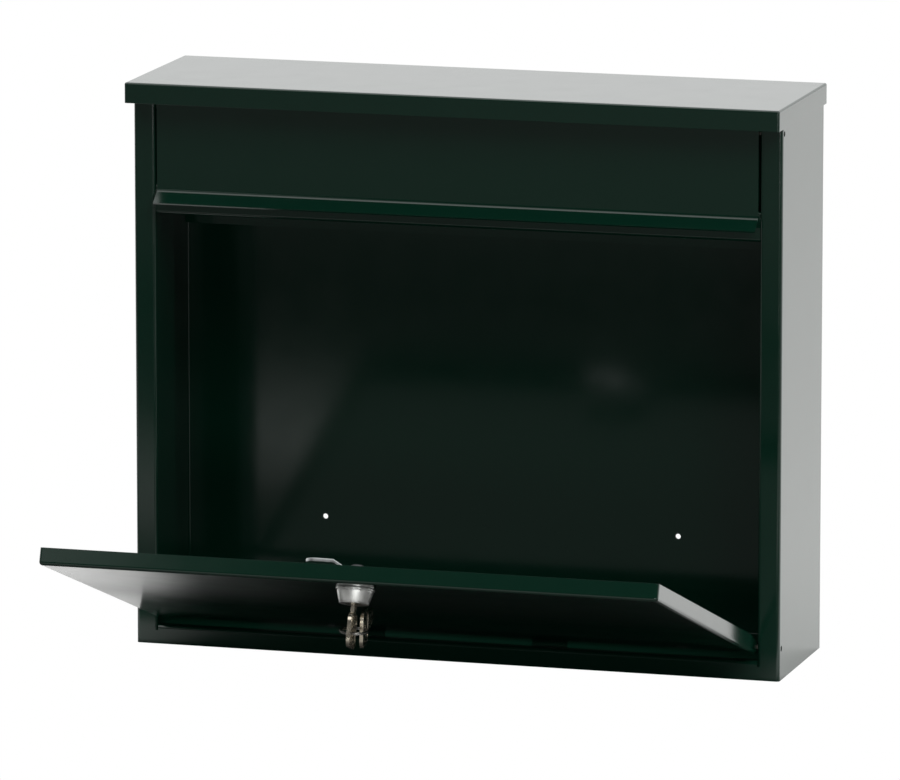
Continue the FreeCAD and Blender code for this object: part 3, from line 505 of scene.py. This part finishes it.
class POSTBOX_OT_lock(bpy.types.Operator):
    """Make the lock's collar, barrel and nut, and finish its plug and cam"""

    bl_idname = "postbox.lock"
    bl_label = "Lock"

    def execute(self, context):
        lock = context.scene.post_box_lock
        # Satin chrome on a turned zinc casting: bright, with a soft even sheen
        chrome = plated("satin_chrome_plate", lock.collar_colour, roughness=0.35, grain_mm=0.25,
                        depth_mm=0.001)
        # Bright zinc on stamped steel: cooler and duller, with a fine crystal grain
        zinc = plated("zinc_plated_steel", lock.zinc_colour, roughness=0.34, grain_mm=0.5,
                      depth_mm=0.006)
        # Black zinc on the nut and the screw: dark grey and dull
        black_zinc = plated("black_zinc_plated_steel", "#4c4e4f", roughness=0.5, grain_mm=0.5,
                            depth_mm=0.006)
        # Nickel on turned brass: warm grey, with a clear sheen
        nickel = plated("nickel_plated_plug", lock.key_colour, roughness=0.25, grain_mm=0.3,
                        depth_mm=0.004)
        self.make_collar(lock, chrome)
        self.make_barrel(lock, chrome)
        self.make_nut(lock, black_zinc)
        eased_piece("lock_plug_turned", "lock_plug", nickel, TURNED_EDGE)
        eased_piece("cam_stamped", "cam", zinc, CAM_EDGE)
        eased_piece("cam_washer_stamped", "cam_washer", zinc, TURNED_EDGE)
        eased_piece("cam_screw_headed", "cam_screw", black_zinc, TURNED_EDGE)
        return {"FINISHED"}

    def make_collar(self, lock, material):
        """Closed section of bore, rim, groove and tapered nose, turned about the lock's axis."""
        heights, radii = lock_profile("lock_collar")
        outer, inner, bore, radius = heights.min(), heights.max(), radii.min(), radii.max()
        groove, nose = lock.collar_groove * MM, lock.collar_nose * MM
        neck, ledge = radius - groove, inner - lock.collar_rim * MM
        section = rounded_profile([
            (bore, inner), (radius, inner), (radius, ledge), (neck, ledge),
            (neck, ledge - groove), (nose, outer), (bore, outer)], COLLAR_CORNER)
        points = moved(turned(section, COLLAR_STEPS), lock_matrix())
        mesh = grid_mesh("lock_collar_turned", points)
        place_piece("lock_collar_turned", mesh, "lock_collar", material)

    def make_barrel(self, lock, material):
        """Head and barrel, turned; along the barrel the radius falls and rises as a triangle wave
        of the height over the pitch less the turn, which winds the wave into a thread."""
        heights, radii = lock_profile("lock_body")
        outer, inner, bore, radius = heights.min(), heights.max(), radii.min(), radii.max()
        barrel, head = radii[heights > 0].max(), lock_profile("lock_collar")[0].min()
        chamfer = (head - outer) / 2
        front = rounded_profile([(bore, outer), (radius - chamfer, outer),
                                 (radius, outer + chamfer), (radius, head), (barrel, head)],
                                HEAD_CORNER)
        pitch, depth = lock.thread_pitch * MM, lock.thread_depth * MM
        turn = full_turn(BARREL_STEPS)
        height = np.arange(head + THREAD_START, inner - THREAD_END, pitch / THREAD_ROWS)[:, None]
        wave = (height / pitch - turn / TWO_PI) % 1
        fade = np.clip(np.minimum(height - head, inner - height) / THREAD_FADE, 0, 1)
        thread = round_axis(barrel - depth * (1 - np.abs(2 * wave - 1)) * fade, height, turn)
        rear = np.array([(barrel - BARREL_CHAMFER, inner), (bore, inner)])
        points = np.concatenate([turned(front, BARREL_STEPS), thread, turned(rear, BARREL_STEPS)])
        mesh = grid_mesh("lock_barrel_threaded", moved(points, lock_matrix()))
        place_piece("lock_barrel_threaded", mesh, "lock_body", material)

    def make_nut(self, lock, material):
        """Hexagon whose radius is half its width over the cosine of the turn from the nearest
        flat, cut back near both ends by a cone, which leaves the round chamfers."""
        heights, radii = lock_profile("lock_nut")
        low, high, bore, corner = heights.min(), heights.max(), radii.min(), radii.max()
        turn = full_turn(NUT_STEPS)
        hexagon = lock.nut_across / 2 * MM / np.cos((turn + FLAT_TURN / 2) % FLAT_TURN - FLAT_TURN / 2)
        height = np.concatenate([np.linspace(low, low + NUT_END, NUT_END_ROWS),
                                 np.linspace(high - NUT_END, high, NUT_END_ROWS)])[:, None]
        cone = corner - NUT_CONE_CUT + NUT_CONE_SLOPE * np.minimum(height - low, high - height)
        side = round_axis(np.minimum(np.minimum(hexagon, corner), cone), height, turn)
        mouth = bore + NUT_BORE_CHAMFER
        hole = np.array([(mouth, high), (bore, high - NUT_BORE_CHAMFER),
                         (bore, low + NUT_BORE_CHAMFER), (mouth, low)])
        points = moved(np.concatenate([side, turned(hole, NUT_STEPS)]), lock_matrix())
        mesh = grid_mesh("lock_nut_chamfered", points)
        place_piece("lock_nut_chamfered", mesh, "lock_nut", material)


class POSTBOX_OT_keys(bpy.types.Operator):
    """Finish the keys and wind their ring"""

    bl_idname = "postbox.keys"
    bl_label = "Keys"

    def execute(self, context):
        lock = context.scene.post_box_lock
        # Nickel on stamped and tumbled brass: warm grey, worn satin
        nickel = plated("nickel_plated_key", lock.key_colour, roughness=0.24, grain_mm=0.35,
                        depth_mm=0.006)
        for node in ("key", "spare_key"):
            eased_piece(f"{node}_stamped", node, nickel, KEY_EDGE)
        # Nickel on spring wire: bright, with faint draw marks
        wire = plated("nickel_plated_wire", "#cfceca", roughness=0.2, grain_mm=0.3, depth_mm=0.003)
        self.make_ring(lock, wire)
        return {"FINISHED"}

    def make_ring(self, lock, material):
        """Split ring: a rounded wire section carried twice round a circle.

        The two coils lie side by side. The path steps across from one to the other in the last
        twelfth of the first turn, by a smooth step of the turn, and both ends are closed.
        """
        cloud = cloud_of("key_ring")
        centre = cloud.mean(axis=0)
        across, along, axis = np.linalg.svd(cloud - centre, full_matrices=False)[2]
        distance = np.linalg.norm(np.cross(cloud - centre, axis), axis=1)
        outer, wire = distance.max(), (distance.max() - distance.min()) / 2
        half_gap = lock.ring_gap / 2 * MM
        radius, half = outer - wire, (wire - half_gap) / 2
        turn = np.linspace(0, 2 * TWO_PI, RING_STEPS + 1)[:, None]
        step = np.clip((turn - TWO_PI * (1 - CROSSING)) / (TWO_PI * CROSSING), 0, 1)
        shift = (half + half_gap) * (2 * step * step * (3 - 2 * step) - 1)
        around = full_turn(WIRE_STEPS)
        ease = np.sqrt(np.clip(np.minimum(turn, 2 * TWO_PI - turn) * radius / half, 0, 1))
        reach = (radius + wire * ease * np.cos(around))[..., None]
        rise = (shift + half * ease * np.sin(around))[..., None]
        spoke = np.cos(turn)[..., None] * across + np.sin(turn)[..., None] * along
        mesh = grid_mesh("key_ring_wound", centre + reach * spoke + rise * axis, False)
        place_piece("key_ring_wound", mesh, "key_ring", material)


class POSTBOX_OT_stage(bpy.types.Operator):
    """Table, light and camera"""

    bl_idname = "postbox.stage"
    bl_label = "Stage"

    def execute(self, context):
        levels = context.scene.post_box_stage
        context.scene.view_settings.view_transform = "Standard"
        self.make_world(context.scene, levels)
        self.make_table(context.scene, levels)
        self.make_lights(context.scene)
        self.make_camera(context.scene)
        return {"FINISHED"}

    def make_world(self, scene, levels):
        """White cyclorama: bright behind, dark in front, with a light bank overhead.

        The level is the larger of two smooth steps: of the direction's Y, from the room to the
        backdrop, and of its Z, from nothing to the bank. The camera sees plain white.
        """
        world = bpy.data.worlds.new("soft_studio")
        scene.world = world
        world.use_nodes = True
        tree = world.node_tree
        tree.nodes.clear()
        direction = add_node(tree, "ShaderNodeTexCoord").outputs["Generated"]
        parts = add_node(tree, "ShaderNodeSeparateXYZ", links={"Vector": direction})
        behind, above = (add_node(tree, "ShaderNodeMapRange", {
            "interpolation_type": "SMOOTHSTEP", "From Min": low, "From Max": high,
            "To Min": least, "To Max": most}, {"Value": parts.outputs[axis]}).outputs["Result"]
            for axis, (low, high), least, most in (
                ("Y", BACKDROP_STEP, levels.room, levels.backdrop),
                ("Z", OVERHEAD_STEP, 0.0, levels.overhead)))
        level = add_node(tree, "ShaderNodeMath", {"operation": "MAXIMUM"}, {0: behind, 1: above})
        lit = add_node(tree, "ShaderNodeBackground", {"Color": WHITE},
                       {"Strength": level.outputs["Value"]})
        seen = add_node(tree, "ShaderNodeBackground", {"Color": WHITE, "Strength": 1.0})
        path = add_node(tree, "ShaderNodeLightPath")
        mix = add_node(tree, "ShaderNodeMixShader", links={
            "Fac": path.outputs["Is Camera Ray"], 1: lit.outputs["Background"],
            2: seen.outputs["Background"]})
        add_node(tree, "ShaderNodeOutputWorld", links={"Surface": mix.outputs["Shader"]})

    def make_table(self, scene, levels):
        """Pale table just under the box. It is cut out of the picture, as in the photograph, and
        only lights and shades the box.

        Its grey is a ramp over the distance in front of the wall, with shade painted into it: bright
        beside the box, a painted shadow line at the box's front edge, bright again before it, painted
        shade under the door, half as bright past the door and painted dark at the far end. It is
        multiplied by the largest of the smooth steps that bound the painted shade under the door, of X
        and of Y, so that painted shade is full only inside all of them, where the open door would keep
        the light off the table.
        """
        material, tree, shader, place = new_material(
            "pale_table_painted_shade", {"Roughness": 1.0, "Specular IOR Level": 0.0})
        parts = add_node(tree, "ShaderNodeSeparateXYZ", links={"Vector": place})
        forth = add_node(tree, "ShaderNodeMapRange", {"From Min": 0.0, "From Max": -TABLE_REACH},
                         {"Value": parts.outputs["Y"]})
        # Greys of the table along Y; those below 1.0 are a painted shadow line and painted shade
        ramp = add_node(tree, "ShaderNodeValToRGB", links={"Fac": forth.outputs["Result"]})
        ramp.color_ramp.interpolation = "EASE"
        stops = ramp.color_ramp.elements
        (_, first), *between, (_, last) = TABLE_GREYS_WITH_PAINTED_SHADE
        stops[0].color, stops[1].color = (first, first, first, 1.0), (last, last, last, 1.0)
        for distance, grey in between:
            stops.new(distance / TABLE_REACH).color = (grey, grey, grey, 1.0)
        # Painted shade under the open door: the largest of its smooth steps
        level, *others = (add_node(tree, "ShaderNodeMapRange", {
            "interpolation_type": "SMOOTHSTEP", "From Min": full, "From Max": gone,
            "To Min": PAINTED_SHADE, "To Max": 1.0}, {"Value": parts.outputs[axis]}).outputs["Result"]
            for axis, full, gone in PAINTED_SHADE_STEPS)
        for other in others:
            level = add_node(tree, "ShaderNodeMath", {"operation": "MAXIMUM"},
                             {0: level, 1: other}).outputs["Value"]
        # The table's grey times the painted shade
        painted_shade_share = add_node(tree, "ShaderNodeMath", {"operation": "MULTIPLY"},
                          {0: level, 1: ramp.outputs["Color"]})
        tint = add_node(tree, "ShaderNodeMix", {"data_type": "RGBA"},
                        {"Factor": painted_shade_share.outputs["Value"]})
        tint.inputs[MIX_FIRST].default_value = BLACK
        tint.inputs[MIX_SECOND].default_value = linear(levels.table_grey)
        tree.links.new(tint.outputs[MIX_RESULT], shader.inputs["Base Color"])
        wide, deep, under = TABLE_HALF_WIDTH, TABLE_HALF_DEPTH, CAD_LOW.z - TABLE_DROP
        mesh = bpy.data.meshes.new("pale_table_painted_shade")
        mesh.from_pydata([(-wide, -deep, under), (wide, -deep, under), (wide, deep, under),
                          (-wide, deep, under)], [], [(0, 1, 2, 3)])
        mesh.materials.append(material)
        table = bpy.data.objects.new("pale_table_painted_shade", mesh)
        scene.collection.objects.link(table)
        table.visible_camera = False

    def make_lights(self, scene):
        """Three soft boxes: a low one beside the camera, for the metal, one above at the front
        right, for the painted fronts, and a weak one at the front left."""
        for name, spot, (width, height), watts in SOFT_BOXES:
            data = bpy.data.lights.new(name, "AREA")
            data.shape = "RECTANGLE"
            data.size, data.size_y = width, height
            data.energy = watts
            light = bpy.data.objects.new(name, data)
            scene.collection.objects.link(light)
            light.location = spot
            light.rotation_mode = "QUATERNION"
            light.rotation_quaternion = (-Vector(spot)).to_track_quat("-Z", "Y")

    def make_camera(self, scene):
        """Camera at the photograph's place."""
        data = bpy.data.cameras.new("photo_camera")
        data.sensor_width = SENSOR_MM
        data.lens = FOCAL_PX * SENSOR_MM / IMAGE_WIDTH
        data.clip_end = CAMERA_CLIP_END
        camera = bpy.data.objects.new("photo_camera", data)
        scene.collection.objects.link(camera)
        forward = Vector((-math.sin(CAMERA_AZIMUTH) * math.cos(CAMERA_ELEVATION),
                          math.cos(CAMERA_AZIMUTH) * math.cos(CAMERA_ELEVATION),
                          -math.sin(CAMERA_ELEVATION)))
        camera.location = CAMERA_TARGET - forward * CAMERA_DISTANCE
        camera.rotation_mode = "QUATERNION"
        camera.rotation_quaternion = forward.to_track_quat("-Z", "Y")
        scene.camera = camera


class POSTBOX_PT_panel(bpy.types.Panel):
    """Panel in the 3D view's sidebar"""

    bl_label = "Post Box"
    bl_space_type = "VIEW_3D"
    bl_region_type = "UI"
    bl_category = "Post Box"

    def draw(self, context):
        for operator in OPERATORS:
            self.layout.operator(operator.bl_idname)


GROUPS = {"post_box_paint": PostBoxPaint, "post_box_lock": PostBoxLock,
          "post_box_stage": PostBoxStage}
OPERATORS = (POSTBOX_OT_painted_sheets, POSTBOX_OT_hinge_pins, POSTBOX_OT_lock, POSTBOX_OT_keys,
             POSTBOX_OT_stage)


def register():
    for kind in (*GROUPS.values(), *OPERATORS, POSTBOX_PT_panel):
        bpy.utils.register_class(kind)
    for name, group in GROUPS.items():
        setattr(bpy.types.Scene, name, bpy.props.PointerProperty(type=group))


def unregister():
    for name in GROUPS:
        delattr(bpy.types.Scene, name)
    for kind in (POSTBOX_PT_panel, *reversed(OPERATORS), *GROUPS.values()):
        bpy.utils.unregister_class(kind)


def main():
    register()
    bpy.ops.postbox.painted_sheets()
    bpy.ops.postbox.hinge_pins()
    bpy.ops.postbox.lock()
    bpy.ops.postbox.keys()
    bpy.ops.postbox.stage()


if __name__ == "__main__":
    main()
